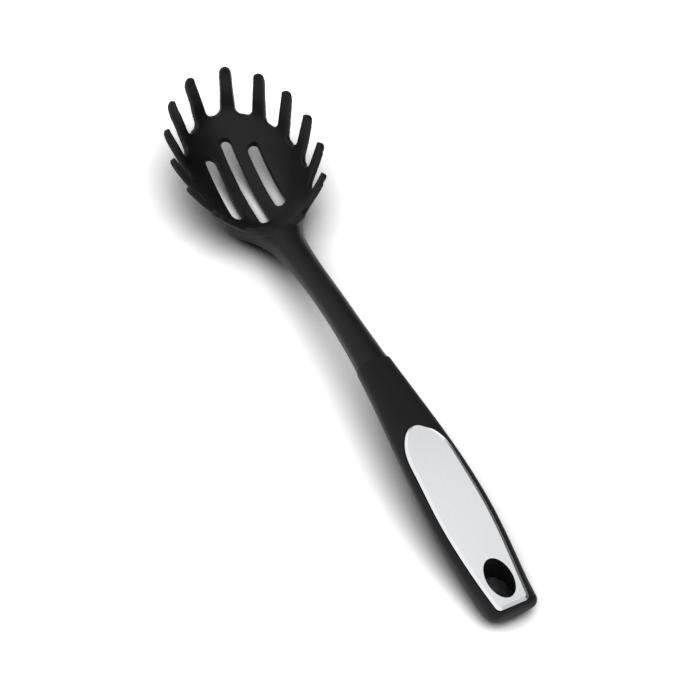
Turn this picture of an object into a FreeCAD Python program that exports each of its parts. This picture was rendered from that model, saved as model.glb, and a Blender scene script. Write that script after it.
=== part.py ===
"""Pasta server: a slotted bowl with a crown of prongs on an arched shaft, and a
soft handle with a bevelled metal-plated insert and a hang hole.

It lies on a table with its bowl open upwards: +Z up, +X from the handle to the bowl,
Y = 0 is the plane of symmetry, Z = 0 the table. While it is built, X is the station
along the tool, and the handle begins at end_at. The last step moves the middle of the
whole tool to X = 0. All sizes are in millimetres.
"""
import FreeCAD
import Part

import math
import os
from collections import namedtuple

Vector = FreeCAD.Vector

# A ring is an ellipse across the bowl, in a plane that slopes up towards the front.
# x, half_length, half_width: its middle and size; height: of the plane at the bowl's middle.
Ring = namedtuple("Ring", "x half_length half_width height slope")

# A station is one cross-section of the handle or shaft.
# side: height of the widest line; top, bottom: heights of the crown and the underside.
Station = namedtuple("Station", "x half_width side top bottom")

# ---- bowl -----------------------------------------------------------------------------
bowl_at = 277.0             # station of the middle of the bowl
wall = 2.8                  # bowl wall, and thickness of the prongs
floor_at = 262.0            # station of the lowest point of the bowl

# middle of the wall, level with the centres of the valleys' round corners
rim = Ring(bowl_at - 1.1, 42.4, 29.0, 21.6, 0.045)
# middle of the wall, level with the centres of the prongs' round ends
tips = Ring(bowl_at - 0.1, 47.6, 35.5, 34.2, 0.193)

length_fullness = 0.46      # how fast the bowl opens out from its floor, 0 = at once
width_fullness = 0.36
drift = 0.55                # how fast its middle moves forward from the floor to the rim
foot = 0.02                 # share of the depth taken by the flat foot of the bowl

# ---- prongs ---------------------------------------------------------------------------
prong_pairs = 6
root_pitch = 16.3           # spacing along the rim
front_root = 7.5            # half of the spacing across the front, along the rim
tip_pitch = 17.3            # spacing along the ring of tips
front_tip = 9.6
root_width = 7.4
tip_width = 5.6
thinning = (1.0, 1.0, 1.0, 0.98, 0.9, 0.76)     # widths of the prongs from front to rear, as shares
shortening = (0.5, 0.5, 0.6, 0.9, 1.3, 2.0)     # how far each stays below the ring of tips
tip_ease = 0.03             # share by which the round end is wider than the prong
side_reach = 0.28           # how far its cutter goes to each side, as a share of the spacing
valley_radius = 3.3         # bottom corners of the valleys
valley_drop = 2.3           # from the rim's ring to the bottom of a valley
rear_drop = 2.1             # the same to the plain rim behind the last prongs

# ---- drain slots ----------------------------------------------------------------------
slot_width = 5.3
slot_pitch = 11.6
middle_slot = (257.6, 303.4)        # stations of the centres of its end arcs
side_slot = (264.2, 296.2)

# ---- shaft and handle -----------------------------------------------------------------
seam_at = 136.5             # station of the joint between the handle and the bare shaft
seam_step = 0.4             # the handle stands proud of the shaft by this much
table_clearance = 0.4       # cut off the lowest part of the handle as a flat foot
top_power = 3.0             # roundness of a handle section: 2 = ellipse, more = squarer
bottom_power = 2.3
shaft_power = 2.3
section_points = 24

handle_stations = (
    Station(0.0, 11.2, 7.8, 11.2, 4.4),
    Station(15.0, 12.3, 6.8, 12.3, -table_clearance),
    Station(31.0, 13.5, 10.2, 14.8, 1.2),
    Station(52.0, 14.3, 14.6, 18.6, 4.4),
    Station(78.0, 13.3, 18.4, 22.8, 8.5),
    Station(106.0, 10.9, 20.8, 25.6, 12.2),
    Station(seam_at, 8.4, 21.6, 26.9, 14.8),
)
shaft_stations = (
    Station(seam_at, 8.4 - seam_step, 21.4, 26.9 - seam_step, 14.8 + seam_step),
    Station(160.0, 6.9, 21.2, 26.2, 15.6),
    Station(186.0, 6.6, 19.4, 24.3, 14.3),
    Station(210.0, 7.0, 15.9, 21.1, 9.9),
    Station(222.0, 7.9, 13.6, 19.6, 7.2),
    Station(229.0, 9.0, 12.2, 18.6, 5.5),
    Station(235.0, 10.9, 11.1, 18.1, 4.0),
    Station(240.0, 13.2, 10.2, 17.7, 2.9),
    Station(245.0, 16.7, 9.5, 17.0, 2.3),
    Station(251.0, 21.0, 9.0, 15.0, 2.5),
    Station(257.0, 20.5, 8.6, 12.5, 3.2),
)
end_at = 3.0                # station of the handle's end face
end_rounding = 3.6          # radius round the end face
end_angles = (85, 65, 45, 22, 0)    # where the sections of that rounding lie
handle_sections = 9
shaft_sections = 20

# ---- tang inside the handle -----------------------------------------------------------
tang_length = 48.0
tang_width = 9.0
tang_thickness = 5.0
key_hole = 4.0              # diameter of the holes that the core's plastic fills
key_holes = 2

# ---- core, skin, insert ---------------------------------------------------------------
skin = 2.0                  # thickness of the soft grip over the core
insert_start = 4.9          # station of the insert's flat end
insert_length = 92.6
insert_half_width = 11.45
insert_end_half_width = 7.8
insert_corner = 2.2
insert_depth = 2.8          # how deep the insert is let in, through the skin into the core
insert_proud = 0.6          # height of the insert's face over the grip
insert_bevel = 1.3          # width of its bevelled edge
insert_bevel_drop = 0.9
insert_gap = 0.1            # clearance round the insert and its posts
post_diameter = 3.4
post_height = 4.0
posts_at = (36.0, 60.0, 80.0)
hole_at = 18.0              # station of the middle of the hang hole
hole_length = 19.0
hole_width = 11.7


# ---- helpers --------------------------------------------------------------------------
def line_at(ring, x):
    """Height of a ring's plane at station x."""
    return ring.height + ring.slope * (x - bowl_at)


def ring_wire(ring):
    """The ellipse of a ring, starting at its front end."""
    middle = Vector(ring.x, 0, line_at(ring, ring.x))
    front = Vector(ring.half_length, 0, ring.half_length * ring.slope)
    return Part.Ellipse(middle + front, middle + Vector(0, ring.half_width, 0), middle).toShape()


def ring_point(ring, length):
    """Point at a length round a ring from its front end, positive on the left side."""
    edge = ring_wire(ring)
    point = edge.valueAt(edge.getParameterByLength(abs(length)))
    point.y = math.copysign(point.y, length)
    return point


def bowl_ring(depth, inset):
    """Ring of the bowl's inside at a share of its depth: 0 = floor, 1 = rim, 2 = tips."""
    if depth > 1:
        low, high = rim, tips
        share = depth - 1
        mixed = [a + (b - a) * share for a, b in zip(low, high)]
        return Ring(mixed[0], mixed[1] - inset, mixed[2] - inset, mixed[3], mixed[4])
    height = wall + (depth - foot) / (1 - foot) * (rim.height - wall)
    return Ring(
        floor_at + (rim.x - floor_at) * depth ** drift,
        (rim.half_length - inset) * depth ** length_fullness,
        (rim.half_width - inset) * depth ** width_fullness,
        height,
        rim.slope * depth,
    )


def outside_ring(depth):
    """Ring of the bowl's outside, one wall away from the inside along the wall's normal."""
    step = 0.01
    here = bowl_ring(depth, wall / 2)
    low = bowl_ring(depth - step, wall / 2)
    high = bowl_ring(depth + step, wall / 2)

    def lean(sign):
        """Angle of the wall at the front (sign 1) or the rear (sign -1)."""
        x_low = low.x + sign * low.half_length
        x_high = high.x + sign * high.half_length
        return math.atan2(line_at(high, x_high) - line_at(low, x_low), sign * (x_high - x_low))

    side = math.atan2(high.height - low.height, high.half_width - low.half_width)

    def growth(angle):
        level = (math.cos(angle) - math.cos(side)) / math.tan(angle)
        return wall * (math.sin(angle) + level)

    front = here.x + here.half_length + growth(lean(1))
    rear = here.x - here.half_length - growth(lean(-1))
    return Ring(
        (front + rear) / 2,
        (front - rear) / 2,
        here.half_width + wall * math.sin(side),
        here.height - wall * math.cos(side),
        here.slope,
    )


def bowl_solid(ring_at):
    """Solid bowl whose rings are ring_at(depth), reaching past the tips of the prongs."""
    depths = (foot, 0.07, 0.16, 0.3, 0.5, 0.75, 1.0, 1.35, 1.7, 2.05, 2.35)
    return Part.makeLoft([Part.Wire(ring_wire(ring_at(d))) for d in depths], True, False)


def prism(points, direction):
    """Solid that a closed outline of straight lines sweeps along a direction."""
    return Part.Face(Part.makePolygon(points + points[:1])).extrude(direction)


def space_above(height_at, start, end):
    """Block over a sloping straight line in the XZ plane, wider and higher than the tool."""
    reach = 100.0
    line = [Vector(start, -reach, height_at(start)), Vector(end, -reach, height_at(end))]
    top = [Vector(end, -reach, reach), Vector(start, -reach, reach)]
    return prism(line + top, Vector(0, 2 * reach, 0))


# ---- prongs ---------------------------------------------------------------------------
def along_ring(prong, front, pitch):
    """Length round a ring to a prong: 0 and up on the left side, -1 and down on the right."""
    if prong >= 0:
        return front + prong * pitch
    return -front + (prong + 1) * pitch


def value_of(values, prong):
    """The value of a prong in a list that runs from the front prongs to the rear ones."""
    place = prong if prong >= 0 else -1 - prong
    return values[min(place, prong_pairs - 1)]


def root_of(prong):
    return along_ring(prong, front_root, root_pitch)


def tip_of(prong):
    return along_ring(prong, front_tip, tip_pitch)


def tangent(ring, length):
    """Direction along a ring, leftwards round the front."""
    step = ring_point(ring, length + 0.5) - ring_point(ring, length - 0.5)
    return step.normalize()


def flank(prong, hand):
    """Points on one flank of a prong: at the rim, and level with the centre of its tip."""
    across = tangent(rim, root_of(prong)) * (hand * value_of(thinning, prong) / 2)
    root = ring_point(rim, root_of(prong)) + across * root_width
    tip = ring_point(tips, tip_of(prong)) + across * tip_width
    return root, tip


def frame_on_wall(base, across, upwards):
    """Directions along the wall, up the wall and out of it, square to each other."""
    out = across.cross(upwards).normalize()
    if out.dot(Vector(base.x - rim.x, base.y, 0)) < 0:
        out = out * -1
    up = out.cross(across).normalize()
    if up.z < 0:
        up = up * -1
    return across, up, out


def corner(before, point, after, radius):
    """Start, middle and end of the arc that rounds the corner of an outline."""
    back = (before - point).normalize()
    ahead = (after - point).normalize()
    half = math.acos(back.dot(ahead)) / 2
    middle = (back + ahead).normalize()
    reach = radius / math.tan(half)
    inside = radius / math.sin(half) - radius
    return point + back * reach, point + middle * inside, point + ahead * reach


def channel(left_top, left, right, right_top, radius):
    """Face of a channel with two round bottom corners."""
    arc_1 = corner(left_top, left, right, radius)
    arc_2 = corner(left, right, right_top, radius)
    edges = [
        Part.makeLine(left_top, arc_1[0]),
        Part.Arc(*arc_1).toShape(),
        Part.makeLine(arc_1[2], arc_2[0]),
        Part.Arc(*arc_2).toShape(),
        Part.makeLine(arc_2[2], right_top),
        Part.makeLine(right_top, left_top),
    ]
    return Part.Face(Part.Wire(edges))


def valley(prong):
    """Cutter for the valley before a prong, from its round bottom to above the tips."""
    inside, outside = 2 * wall, 3 * wall
    left = flank(prong - 1, 1)
    right = flank(prong, -1)
    middle = (root_of(prong - 1) + root_of(prong)) / 2
    base = ring_point(rim, middle)
    upwards = (left[1] + right[1]) * 0.5 - base
    across, up, out = frame_on_wall(base, tangent(rim, middle), upwards)

    def on_flank(line, height):
        """Point of a flank, laid on the valley's own plane, at a height above the rim."""
        (u_0, v_0), (u_1, v_1) = [((p - base).dot(across), (p - base).dot(up)) for p in line]
        u = u_0 + (u_1 - u_0) * (height - v_0) / (v_1 - v_0)
        return base + across * u + up * height - out * inside

    top, bottom = 2.5 * (tips.height - rim.height), -valley_drop
    corners = [on_flank(line, height) for line, height in
               ((left, top), (left, bottom), (right, bottom), (right, top))]
    return channel(*corners, valley_radius).extrude(out * (inside + outside))


def tip_rounding(prong):
    """Cutter that leaves a round end on a prong."""
    inside, outside = 2 * wall, 3 * wall
    root = ring_point(rim, root_of(prong))
    tip = ring_point(tips, tip_of(prong))
    below = value_of(shortening, prong)
    width = tip_width + (root_width - tip_width) * below / (tip - root).Length
    radius = (1 + tip_ease) * value_of(thinning, prong) * width / 2
    across, up, out = frame_on_wall(root, tangent(rim, root_of(prong)), tip - root)
    centre = tip - up * below - out * inside
    side, height = across * (tip_pitch * side_reach), up * (tips.height / 2)
    ends = centre - across * radius, centre + across * radius
    edges = [
        Part.makeLine(centre - side, ends[0]),
        Part.Arc(ends[0], centre + up * radius, ends[1]).toShape(),
        Part.makeLine(ends[1], centre + side),
        Part.makeLine(centre + side, centre + side + height),
        Part.makeLine(centre + side + height, centre - side + height),
        Part.makeLine(centre - side + height, centre - side),
    ]
    return Part.Face(Part.Wire(edges)).extrude(out * (inside + outside))


def drain_slot(ends, y):
    """Cutter for one slot through the bowl's floor."""
    depth = 2 * tips.height
    first, last = Vector(ends[0], y, -wall), Vector(ends[1], y, -wall)
    side = Vector(0, slot_width / 2, 0)
    tip = Vector(slot_width / 2, 0, 0)
    edges = [
        Part.makeLine(first + side, last + side),
        Part.Arc(last + side, last + tip, last - side).toShape(),
        Part.makeLine(last - side, first - side),
        Part.Arc(first - side, first - tip, first + side).toShape(),
    ]
    return Part.Face(Part.Wire(edges)).extrude(Vector(0, 0, depth))


# ---- handle and shaft -----------------------------------------------------------------
def section(station, top_shape, bottom_shape, inset=0.0):
    """Closed cross-section at a station, moved in by inset all round."""
    half_width = station.half_width - inset
    rise = station.top - station.side - inset
    drop = station.side - station.bottom - inset
    points = []
    for index in range(section_points):
        angle = 2 * math.pi * index / section_points
        cos, sin = math.cos(angle), math.sin(angle)
        power = top_shape if sin >= 0 else bottom_shape
        height = rise if sin >= 0 else drop
        y = half_width * math.copysign(abs(cos) ** (2 / power), cos)
        z = station.side + height * math.copysign(abs(sin) ** (2 / power), sin)
        points.append(Vector(station.x, y, z))
    curve = Part.BSplineCurve()
    curve.interpolate(points, PeriodicFlag=True)
    return Part.Wire(curve.toShape())


def even_sections(stations, start, end, count, top_shape, bottom_shape, inset=0.0):
    """Evenly spaced sections along smooth curves through the stations."""
    values = [spline_through(stations, name) for name in Station._fields[1:]]
    spots = [start + (end - start) * index / count for index in range(count + 1)]
    return [section(Station(x, *[value(x) for value in values]), top_shape, bottom_shape, inset)
            for x in spots]


def spline_through(stations, name):
    """Smooth curve of one station value along X, as a function of x."""
    points = [Vector(s.x, 0, getattr(s, name)) for s in stations]
    curve = Part.BSplineCurve()
    curve.interpolate(points)

    def value(x):
        low, high = curve.FirstParameter, curve.LastParameter
        for _ in range(40):
            middle = (low + high) / 2
            if curve.value(middle).x < x:
                low = middle
            else:
                high = middle
        return curve.value((low + high) / 2).z

    return value


def handle_body(inset):
    """The handle's outside with its rounded end, or the same body moved in by inset."""
    values = [spline_through(handle_stations, name) for name in Station._fields[1:]]

    def wire_at(x, further_in):
        return section(Station(x, *[value(x) for value in values]), top_power, bottom_power, further_in)

    wires = []
    start = end_at + inset
    for angle in end_angles:
        x = start + end_rounding * (1 - math.sin(math.radians(angle)))
        wires.append(wire_at(x, inset + end_rounding * (1 - math.cos(math.radians(angle)))))
    cap = Part.makeLoft(wires, True, False)
    spans = even_sections(handle_stations, start + end_rounding, seam_at, handle_sections,
                          top_power, bottom_power, inset)
    return cap.fuse(Part.makeLoft(spans, True, False))


# ---- pieces ---------------------------------------------------------------------------
def make_tang():
    """Flat bar that goes on from the shaft inside the handle, with holes as keys."""
    top_of = spline_through(handle_stations, "top")
    bottom_of = spline_through(handle_stations, "bottom")
    start = seam_at - tang_length
    ends = []
    for x in (start, seam_at + wall):
        inner = min(x, seam_at)
        middle = (top_of(inner) + bottom_of(inner)) / 2
        ends.append(Vector(x, -tang_width / 2, middle - tang_thickness / 2))
    rise = Vector(0, 0, tang_thickness)
    bar = prism([ends[0], ends[1], ends[1] + rise, ends[0] + rise], Vector(0, tang_width, 0))
    pitch = tang_length / (key_holes + 1)
    for index in range(key_holes):
        x = start + (index + 1) * pitch
        bar = bar.cut(Part.makeCylinder(key_hole / 2, 100, Vector(x, 0, -10)))
    return bar


def make_head(tang):
    """Bowl, prongs, shaft and tang in one moulding."""
    inside = bowl_solid(lambda depth: bowl_ring(depth, wall / 2))
    outside = bowl_solid(outside_ring)
    shell = outside.cut(inside)
    cutters = [valley(prong) for prong in range(-prong_pairs, prong_pairs + 1)]
    cutters += [tip_rounding(prong) for prong in range(-prong_pairs, prong_pairs)]
    last_root = ring_point(rim, root_of(prong_pairs - 1) + root_pitch / 2)
    cutters.append(space_above(lambda x: line_at(rim, x) - rear_drop, seam_at, last_root.x))
    crown = max(shell.cut(cutters).Solids, key=lambda solid: solid.Volume)

    sections = even_sections(shaft_stations, seam_at, shaft_stations[-1].x, shaft_sections,
                             shaft_power, shaft_power)
    shaft = Part.makeLoft(sections, True, False).cut(inside)
    head = crown.fuse(shaft).fuse(tang)
    slots = [drain_slot(middle_slot, 0.0)]
    slots += [drain_slot(side_slot, side * slot_pitch) for side in (-1, 1)]
    return head.cut(slots)


def insert_outline(grow):
    """Plan outline of the insert: flat end with round corners, long curved sides, round nose."""
    start = insert_start - grow
    nose = insert_start + insert_length + grow
    belly = insert_half_width + grow
    end_half = insert_end_half_width + grow
    length = insert_length + 2 * grow
    shares = ((0.24, 0.88), (0.5, 1.0), (0.75, 0.94), (0.92, 0.69))
    side = [(start + length * along, belly * wide) for along, wide in shares]
    first = Vector(start + insert_corner, end_half, 0)
    upper = [first] + [Vector(x, y, 0) for x, y in side]
    lower = [Vector(p.x, -p.y, 0) for p in reversed(upper)]
    curve = Part.BSplineCurve()
    curve.interpolate(upper + [Vector(nose, 0, 0)] + lower)
    edge_y = end_half - insert_corner
    bend = insert_corner * (1 - math.sqrt(0.5))
    upper_bend = Vector(start + bend, end_half - bend, 0)
    lower_bend = Vector(start + bend, -end_half + bend, 0)
    edges = [
        curve.toShape(),
        Part.Arc(lower[-1], lower_bend, Vector(start, -edge_y, 0)).toShape(),
        Part.makeLine(Vector(start, -edge_y, 0), Vector(start, edge_y, 0)),
        Part.Arc(Vector(start, edge_y, 0), upper_bend, first).toShape(),
    ]
    return Part.Face(Part.Wire(edges))


def space_over_grip(offset, height):
    """Slab that follows the grip's top line, starting offset above it."""
    top_of = spline_through(handle_stations, "top")
    reach = insert_half_width * 2
    stations = [insert_length * 1.2 * index / 8 for index in range(9)]
    low = [Vector(x, -reach, top_of(x) + offset) for x in stations]
    curve = Part.BSplineCurve()
    curve.interpolate(low)
    rise = Vector(0, 0, height)
    edges = [
        curve.toShape(),
        Part.makeLine(low[-1], low[-1] + rise),
        curve.toShape().translated(rise),
        Part.makeLine(low[0] + rise, low[0]),
    ]
    return Part.Face(Part.Wire(edges)).extrude(Vector(0, 2 * reach, 0))


def hang_hole(grow):
    """Cutter for the hang hole, an upright oval."""
    centre = Vector(hole_at, 0, -20)
    long_end = centre + Vector(hole_length / 2 + grow, 0, 0)
    wide_end = centre + Vector(0, hole_width / 2 + grow, 0)
    oval = Part.Ellipse(long_end, wide_end, centre).toShape()
    return Part.Face(Part.Wire(oval)).extrude(Vector(0, 0, 80))


def insert_posts(grow):
    """Posts under the insert, or their holes in the core."""
    top_of = spline_through(handle_stations, "top")
    posts = []
    for x in posts_at:
        base = Vector(x, 0, top_of(x) - insert_depth - post_height - grow)
        posts.append(Part.makeCylinder(post_diameter / 2 + grow, post_height + insert_depth / 2, base))
    return posts


def make_insert():
    """Plated plaque with a bevelled edge, the hang hole and posts underneath."""
    slab = space_over_grip(-insert_depth, insert_depth + insert_proud)
    plate = slab.common(insert_outline(0.0).extrude(Vector(0, 0, 60)))
    plate = plate.cut(hang_hole(0.0))
    broad = sorted(plate.Faces, key=lambda face: face.Area)[-2:]
    top = max(broad, key=lambda face: face.CenterOfMass.z)
    plate = plate.makeChamfer(insert_bevel_drop, insert_bevel, top.OuterWire.Edges)
    return plate.fuse(insert_posts(0.0)).removeSplitter()


def make_handle(tang):
    """Hard core and the soft grip round it."""
    below = Part.makeBox(400, 200, 100, Vector(-50, -100, -100))
    outside = handle_body(0.0).cut(below)
    inside = handle_body(skin).cut(hang_hole(skin))
    recess = space_over_grip(-insert_depth, 40)
    recess = recess.common(insert_outline(insert_gap).extrude(Vector(0, 0, 80)))
    core = inside.cut([recess, tang] + insert_posts(insert_gap))
    grip = outside.cut([inside, recess, hang_hole(0.0)])
    return core, grip


def main():
    tang = make_tang()
    head = make_head(tang)
    core, grip = make_handle(tang)
    pieces = {
        "server_head": head,
        "handle_core": core,
        "soft_grip": grip,
        "chrome_insert": make_insert(),
    }
    box = Part.Compound(list(pieces.values())).optimalBoundingBox()
    to_middle = Vector(-(box.XMin + box.XMax) / 2, 0, 0)
    os.makedirs("parts", exist_ok=True)
    for name, shape in pieces.items():
        placed = shape.translated(to_middle)
        placed.exportStep(f"parts/{name}.step")
        bounds = placed.optimalBoundingBox()
        print(f"{name}: valid {placed.isValid()}, solids {len(placed.Solids)},"
              f" faces {len(placed.Faces)}, volume {placed.Volume:.0f},"
              f" z {bounds.ZMin:.2f} to {bounds.ZMax:.2f}, x {bounds.XMin:.2f} to {bounds.XMax:.2f}")


main()
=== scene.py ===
"""The pasta server on a white studio floor, seen as in its photograph."""
import math
from collections import namedtuple

import bpy
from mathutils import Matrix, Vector


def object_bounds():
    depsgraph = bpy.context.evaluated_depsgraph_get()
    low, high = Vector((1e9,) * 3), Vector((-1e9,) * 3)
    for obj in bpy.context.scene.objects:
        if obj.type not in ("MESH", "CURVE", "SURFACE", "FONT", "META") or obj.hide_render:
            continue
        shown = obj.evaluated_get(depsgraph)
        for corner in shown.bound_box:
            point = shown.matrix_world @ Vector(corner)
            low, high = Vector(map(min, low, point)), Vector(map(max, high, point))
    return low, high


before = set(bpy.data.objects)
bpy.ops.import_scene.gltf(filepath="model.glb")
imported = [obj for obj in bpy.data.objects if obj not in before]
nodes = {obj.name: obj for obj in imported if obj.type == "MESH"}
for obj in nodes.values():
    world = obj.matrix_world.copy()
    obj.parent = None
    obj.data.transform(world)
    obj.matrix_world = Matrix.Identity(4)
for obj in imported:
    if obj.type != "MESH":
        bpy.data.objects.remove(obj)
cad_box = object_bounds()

scene = bpy.context.scene
scene.view_settings.view_transform = "Standard"

MM = 0.001
UP = Vector((0, 0, 1))
handle_end = Vector((cad_box[0].x, 0, 0))       # end of the handle, on the floor

# ---- camera: above the handle's end and to its left, looking down along the tool --------
LOOK_AT = handle_end + Vector((162.8, -2.5, 0)) * MM
CAMERA_WAY = Vector((-0.5732, 0.2779, 0.7709))  # from there to the camera
CAMERA_DISTANCE = 886.3 * MM
SENSOR_WIDTH = 36
FOCAL_SHARE = 1900 / 700                        # focal length over the picture's width
PICTURE_RIGHT = Vector((-0.4363, -0.8998, 0))   # on the floor, to the picture's right
PICTURE_AWAY = Vector((0.8998, -0.4363, 0))     # on the floor, away from the camera


def make_camera():
    """The photograph's camera."""
    data = bpy.data.cameras.new("camera")
    data.sensor_width = SENSOR_WIDTH
    data.lens = SENSOR_WIDTH * FOCAL_SHARE
    camera = bpy.data.objects.new("camera", data)
    camera.location = LOOK_AT + CAMERA_WAY * CAMERA_DISTANCE
    camera.rotation_euler = (-CAMERA_WAY).to_track_quat("-Z", "Y").to_euler()
    scene.collection.objects.link(camera)
    scene.camera = camera


# ---- shader helpers: each adds nodes to a tree and returns the socket with the result ---
NOISE_MIDDLE = (0.3, 0.7)       # between these a noise has most of its values
TINT_EDGES = (0.35, 0.65)       # where a noise reaches the darkest and the lightest colour


def add(tree, kind, **settings):
    """New node with its settings; a name that isn't a property sets the input of that name."""
    node = tree.nodes.new(kind)
    for name, value in settings.items():
        if hasattr(node, name):
            setattr(node, name, value)
        else:
            node.inputs[name].default_value = value
    return node


def feed(tree, source, target):
    """Give an input another node's socket or a plain value."""
    if isinstance(source, bpy.types.NodeSocket):
        tree.links.new(source, target)
    else:
        target.default_value = source


def maths(tree, operation, first, second):
    """Two numbers, or sockets with numbers, made into one."""
    node = add(tree, "ShaderNodeMath", operation=operation)
    feed(tree, first, node.inputs[0])
    feed(tree, second, node.inputs[1])
    return node.outputs[0]


def vector_maths(tree, operation, first, second=(0, 0, 0), result="Vector"):
    """Two vectors made into one, or into a number with result="Value"."""
    node = add(tree, "ShaderNodeVectorMath", operation=operation)
    feed(tree, first, node.inputs[0])
    feed(tree, second, node.inputs[1])
    return node.outputs[result]


def mixed_numbers(tree, share, first, second):
    """The first number where the share is 0, the second where it is 1."""
    node = add(tree, "ShaderNodeMix", data_type="FLOAT")
    for source, place in ((share, 0), (first, 2), (second, 3)):
        feed(tree, source, node.inputs[place])
    return node.outputs[0]


def mixed_colours(tree, share, first, second):
    """The first colour where the share is 0, the second where it is 1."""
    node = add(tree, "ShaderNodeMix", data_type="RGBA")
    for source, place in ((share, 0), (first, 6), (second, 7)):
        feed(tree, source, node.inputs[place])
    return node.outputs[2]


def mapped(tree, value, start, end):
    """A value moved from the range start to the range end, and kept inside it."""
    node = add(tree, "ShaderNodeMapRange")
    for name, number in zip(("From Min", "From Max", "To Min", "To Max"), (*start, *end)):
        node.inputs[name].default_value = number
    tree.links.new(value, node.inputs["Value"])
    return node.outputs["Result"]


def noise(tree, size, detail):
    """Noise over the object's own coordinates, with a grain of about size metres."""
    place = add(tree, "ShaderNodeTexCoord")
    node = add(tree, "ShaderNodeTexNoise", Scale=1 / size, Detail=detail, Roughness=0.5)
    tree.links.new(place.outputs["Object"], node.inputs["Vector"])
    return node.outputs["Fac"]


def tinted(tree, value, darkest, lightest):
    """Colour between two others, by a noise."""
    node = add(tree, "ShaderNodeValToRGB")
    for element, colour, edge in zip(node.color_ramp.elements, (darkest, lightest), TINT_EDGES):
        element.color = (*colour, 1)
        element.position = edge
    tree.links.new(value, node.inputs["Fac"])
    return node.outputs["Color"]


def bump(tree, heights, shader):
    """Bumps one over another: pairs of a noise and its depth in metres."""
    normal = None
    for height, depth in heights:
        node = add(tree, "ShaderNodeBump", Strength=1.0, Distance=depth)
        tree.links.new(height, node.inputs["Height"])
        if normal:
            tree.links.new(normal, node.inputs["Normal"])
        normal = node.outputs["Normal"]
    tree.links.new(normal, shader.inputs["Normal"])


def new_material(name):
    """A material with its node tree and its Principled shader."""
    material = bpy.data.materials.new(name)
    material.use_nodes = True
    tree = material.node_tree
    return material, tree, tree.nodes["Principled BSDF"]


# ---- black plastics ---------------------------------------------------------------------
# size: of one grain; detail: of its noise; depth: of its bumps, 0 for none. In metres.
Grain = namedtuple("Grain", "size detail depth")

# Colour and roughness each go from the first value to the second with the broad grain.
Plastic = namedtuple("Plastic", "name colours roughness specular fine broad")

# glass-filled nylon: satin, with a fine mould grain and faint flow marks
NYLON = Plastic(
    "black_nylon", ((0.0045, 0.0043, 0.0050), (0.0068, 0.0064, 0.0072)), (0.40, 0.47), 0.28,
    fine=Grain(0.35 * MM, 3, 0.012 * MM), broad=Grain(9 * MM, 5, 0.05 * MM))
# elastomer: matt, with a fine grain and a soft bloom
SOFT_TOUCH = Plastic(
    "black_soft_touch", ((0.0060, 0.0056, 0.0060), (0.0085, 0.0080, 0.0085)), (0.55, 0.62), 0.25,
    fine=Grain(0.22 * MM, 2, 0.02 * MM), broad=Grain(14 * MM, 4, 0))
# polypropylene as it comes from the mould
POLYPROPYLENE = Plastic(
    "black_polypropylene", ((0.020, 0.020, 0.021), (0.026, 0.026, 0.027)), (0.45, 0.55), 0.5,
    fine=Grain(0.5 * MM, 3, 0.02 * MM), broad=Grain(12 * MM, 3, 0))


def moulded(plastic):
    """Material of a moulded plastic."""
    material, tree, shader = new_material(plastic.name)
    grains = [(noise(tree, grain.size, grain.detail), grain.depth)
              for grain in (plastic.fine, plastic.broad)]
    broad = grains[1][0]
    tree.links.new(tinted(tree, broad, *plastic.colours), shader.inputs["Base Color"])
    tree.links.new(mapped(tree, broad, NOISE_MIDDLE, plastic.roughness), shader.inputs["Roughness"])
    shader.inputs["Specular IOR Level"].default_value = plastic.specular
    bump(tree, [(height, depth) for height, depth in grains if depth], shader)
    return material


# ---- chrome plate -----------------------------------------------------------------------
PLATE_COLOURS = ((0.85, 0.86, 0.88), (0.87, 0.88, 0.90))
PLATE_ROUGHNESS = (0.12, 0.15)
PLATE_HAZE = Grain(1.6 * MM, 4, 0.0006 * MM)
PLATE_GRAIN = Grain(0.3 * MM, 3, 0.0006 * MM)
UNPLATED = (0.012, 0.012, 0.013, 1)     # the bare plastic on the hang hole's wall

HOLE_AT = handle_end + Vector((15.0, 0, 0)) * MM
HOLE_HALF = Vector((9.5, 5.85, 0)) * MM         # half of its length and width
WALL_ENDS = (1.05, 1.10)        # how far from its middle the wall ends, as shares of those
WALL_UPRIGHT = (0.15, 0.35)     # upward part of the normal: still the wall, and the face


def hole_wall(tree):
    """1 on the upright wall of the hang hole, 0 on the rest of the insert."""
    surface = add(tree, "ShaderNodeNewGeometry")
    from_middle = vector_maths(tree, "SUBTRACT", surface.outputs["Position"], HOLE_AT)
    as_shares = (1 / HOLE_HALF.x, 1 / HOLE_HALF.y, 0)
    scaled = vector_maths(tree, "MULTIPLY", from_middle, as_shares)
    reach = vector_maths(tree, "LENGTH", scaled, result="Value")
    normal = add(tree, "ShaderNodeSeparateXYZ")
    tree.links.new(surface.outputs["Normal"], normal.inputs[0])
    near = mapped(tree, reach, WALL_ENDS, (1, 0))
    upright = mapped(tree, normal.outputs["Z"], WALL_UPRIGHT, (1, 0))
    return maths(tree, "MULTIPLY", near, upright)


def chrome_plate():
    """Satin-bright chrome plate with a fine haze; the hole's wall is bare black plastic."""
    material, tree, shader = new_material("satin_chrome")
    haze = noise(tree, PLATE_HAZE.size, PLATE_HAZE.detail)
    fine = noise(tree, PLATE_GRAIN.size, PLATE_GRAIN.detail)
    bare = hole_wall(tree)
    plate = tinted(tree, haze, *PLATE_COLOURS)
    tree.links.new(mixed_colours(tree, bare, plate, UNPLATED), shader.inputs["Base Color"])
    tree.links.new(mapped(tree, bare, (0, 1), (1, 0)), shader.inputs["Metallic"])
    tree.links.new(mapped(tree, haze, NOISE_MIDDLE, PLATE_ROUGHNESS), shader.inputs["Roughness"])
    bump(tree, ((fine, PLATE_GRAIN.depth), (haze, PLATE_HAZE.depth)), shader)
    return material


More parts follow.
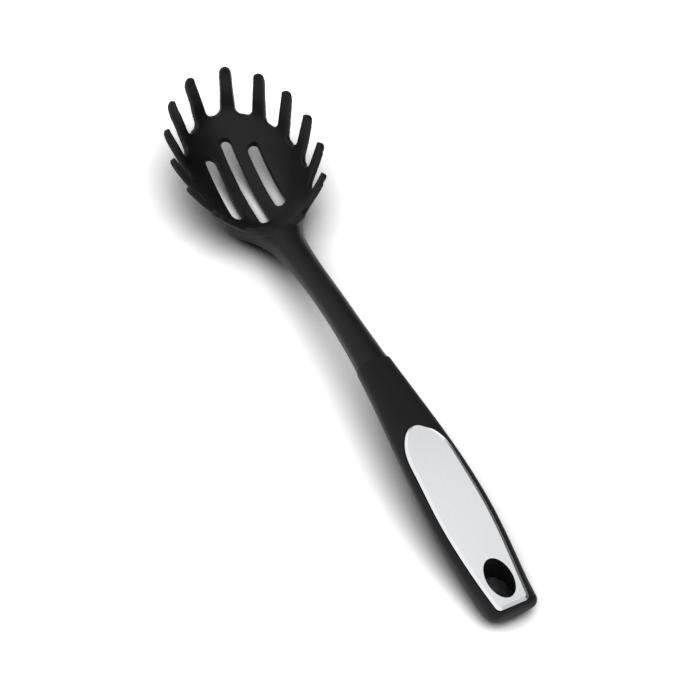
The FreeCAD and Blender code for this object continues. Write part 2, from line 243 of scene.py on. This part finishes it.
# ---- pieces -----------------------------------------------------------------------------
SMOOTHING = 0.5                 # how far each round moves a point to its neighbours' middle
HARD_EDGE = math.radians(25)    # a sharper edge than this is rounded on a plated piece
EDGE_SEGMENTS = 3


def dress(name, material):
    """Give a node of the model one material."""
    mesh = nodes[name].data
    mesh.materials.clear()
    mesh.materials.append(material)


def soften(name, voxel, rounds):
    """Round a moulding's edges as a mould does: a fine even mesh, then smoothing."""
    remesh = nodes[name].modifiers.new("even_mesh", "REMESH")
    remesh.mode = "VOXEL"
    remesh.voxel_size = voxel
    remesh.use_smooth_shade = True
    smooth = nodes[name].modifiers.new("mould_radius", "SMOOTH")
    smooth.factor = SMOOTHING
    smooth.iterations = rounds


def break_edges(name, width):
    """A small round on the hard edges of a plated piece."""
    bevel = nodes[name].modifiers.new("edge_round", "BEVEL")
    bevel.width = width
    bevel.segments = EDGE_SEGMENTS
    bevel.limit_method = "ANGLE"
    bevel.angle_limit = HARD_EDGE
    bevel.harden_normals = True


# ---- floor, world and lamps -------------------------------------------------------------
FLOOR_SIZE = 6.0
FLOOR_GREY = 0.80               # the floor's colour, as the tool is lit by it
FLOOR_SHOWN = 2.1               # its colour for the camera: white where no shadow falls
PAINTED_SHADE_REACH = 45 * MM         # painted shade: the floor's colour is made darker this near to the tool
PAINTED_SHADE_BLACK = 0.25            # and is painted black where it is open to this share of the sky
PAINTED_SHADE_SAMPLES = 8

AMBIENT = 0.25                  # the world as a light
DIM_SIDE = 0.12                 # the studio's dark side in shiny pieces; white is 1
LIGHT_WAY = UP * 0.5 - PICTURE_RIGHT * 0.6 - PICTURE_AWAY * 0.35    # to its white side
LIGHT_EDGE = (-0.08, 0.30)      # where the dark side ends and the white begins, that way

# way: from the tool to the lamp; radiance: the lamp's own brightness, where 1 is white
Lamp = namedtuple("Lamp", "name way size radiance")
LAMP_DISTANCE = 1.3
LAMPS = (
    Lamp("key", PICTURE_RIGHT * 0.45 - PICTURE_AWAY * 0.5 + UP, 1.55, 1.8),
    Lamp("fill", PICTURE_AWAY * 0.07 - PICTURE_RIGHT * 0.79 + UP * 0.62, 0.8, 1.15),
)


def seen_directly(tree):
    """1 for what the camera sees straight, or mirrored in metal or glass, and 0 otherwise."""
    path = add(tree, "ShaderNodeLightPath")
    seen = path.outputs["Is Camera Ray"]
    for name in ("Is Glossy Ray", "Is Transmission Ray"):
        seen = maths(tree, "MAXIMUM", seen, path.outputs[name])
    return seen


def make_floor():
    """White floor that keeps the tool's shadow, with painted shade in its colour, darkest close to
    the tool.
    """
    bpy.ops.mesh.primitive_plane_add(size=FLOOR_SIZE)
    floor = bpy.context.object
    floor.name = "studio_floor"
    material, tree, shader = new_material("white_floor")
    tree.nodes.remove(shader)
    # painted contact shade: ambient occlusion darkens the floor's colour near the tool
    near = add(tree, "ShaderNodeAmbientOcclusion", samples=PAINTED_SHADE_SAMPLES, Distance=PAINTED_SHADE_REACH)
    painted_contact_shade = mapped(tree, near.outputs["AO"], (PAINTED_SHADE_BLACK, 1), (0, FLOOR_SHOWN))
    diffuse = add(tree, "ShaderNodeBsdfDiffuse")
    shade = mixed_numbers(tree, seen_directly(tree), FLOOR_GREY, painted_contact_shade)
    tree.links.new(shade, diffuse.inputs["Color"])
    tree.links.new(diffuse.outputs[0], tree.nodes["Material Output"].inputs["Surface"])
    floor.data.materials.append(material)


def make_world():
    """White studio for the camera; shiny pieces mirror a white side and, across, a dark one."""
    world = bpy.data.worlds.new("studio")
    scene.world = world
    world.use_nodes = True
    tree = world.node_tree
    way = add(tree, "ShaderNodeTexCoord").outputs["Generated"]
    facing = vector_maths(tree, "DOT_PRODUCT", way, LIGHT_WAY, result="Value")
    mirrored = mapped(tree, facing, LIGHT_EDGE, (DIM_SIDE, 1))
    camera_ray = add(tree, "ShaderNodeLightPath").outputs["Is Camera Ray"]
    shown = maths(tree, "MAXIMUM", mirrored, camera_ray)
    background = tree.nodes["Background"]
    background.inputs["Color"].default_value = (1, 1, 1, 1)
    level = mixed_numbers(tree, seen_directly(tree), AMBIENT, shown)
    tree.links.new(level, background.inputs["Strength"])


def add_lamp(lamp):
    """Square soft lamp that shines on the tool's middle."""
    data = bpy.data.lights.new(lamp.name, "AREA")
    data.shape = "SQUARE"
    data.size = lamp.size
    data.energy = lamp.radiance * math.pi * lamp.size ** 2
    placed = bpy.data.objects.new(lamp.name, data)
    way = lamp.way.normalized()
    placed.location = LOOK_AT + way * LAMP_DISTANCE
    placed.rotation_euler = (-way).to_track_quat("-Z", "Y").to_euler()
    placed.visible_glossy = False       # shiny pieces mirror the world, at most white
    scene.collection.objects.link(placed)


make_camera()
dress("server_head", moulded(NYLON))
dress("soft_grip", moulded(SOFT_TOUCH))
dress("handle_core", moulded(POLYPROPYLENE))
dress("chrome_insert", chrome_plate())
soften("server_head", voxel=0.45 * MM, rounds=8)
soften("soft_grip", voxel=0.35 * MM, rounds=4)
break_edges("chrome_insert", width=0.2 * MM)
make_floor()
make_world()
for lamp in LAMPS:
    add_lamp(lamp)
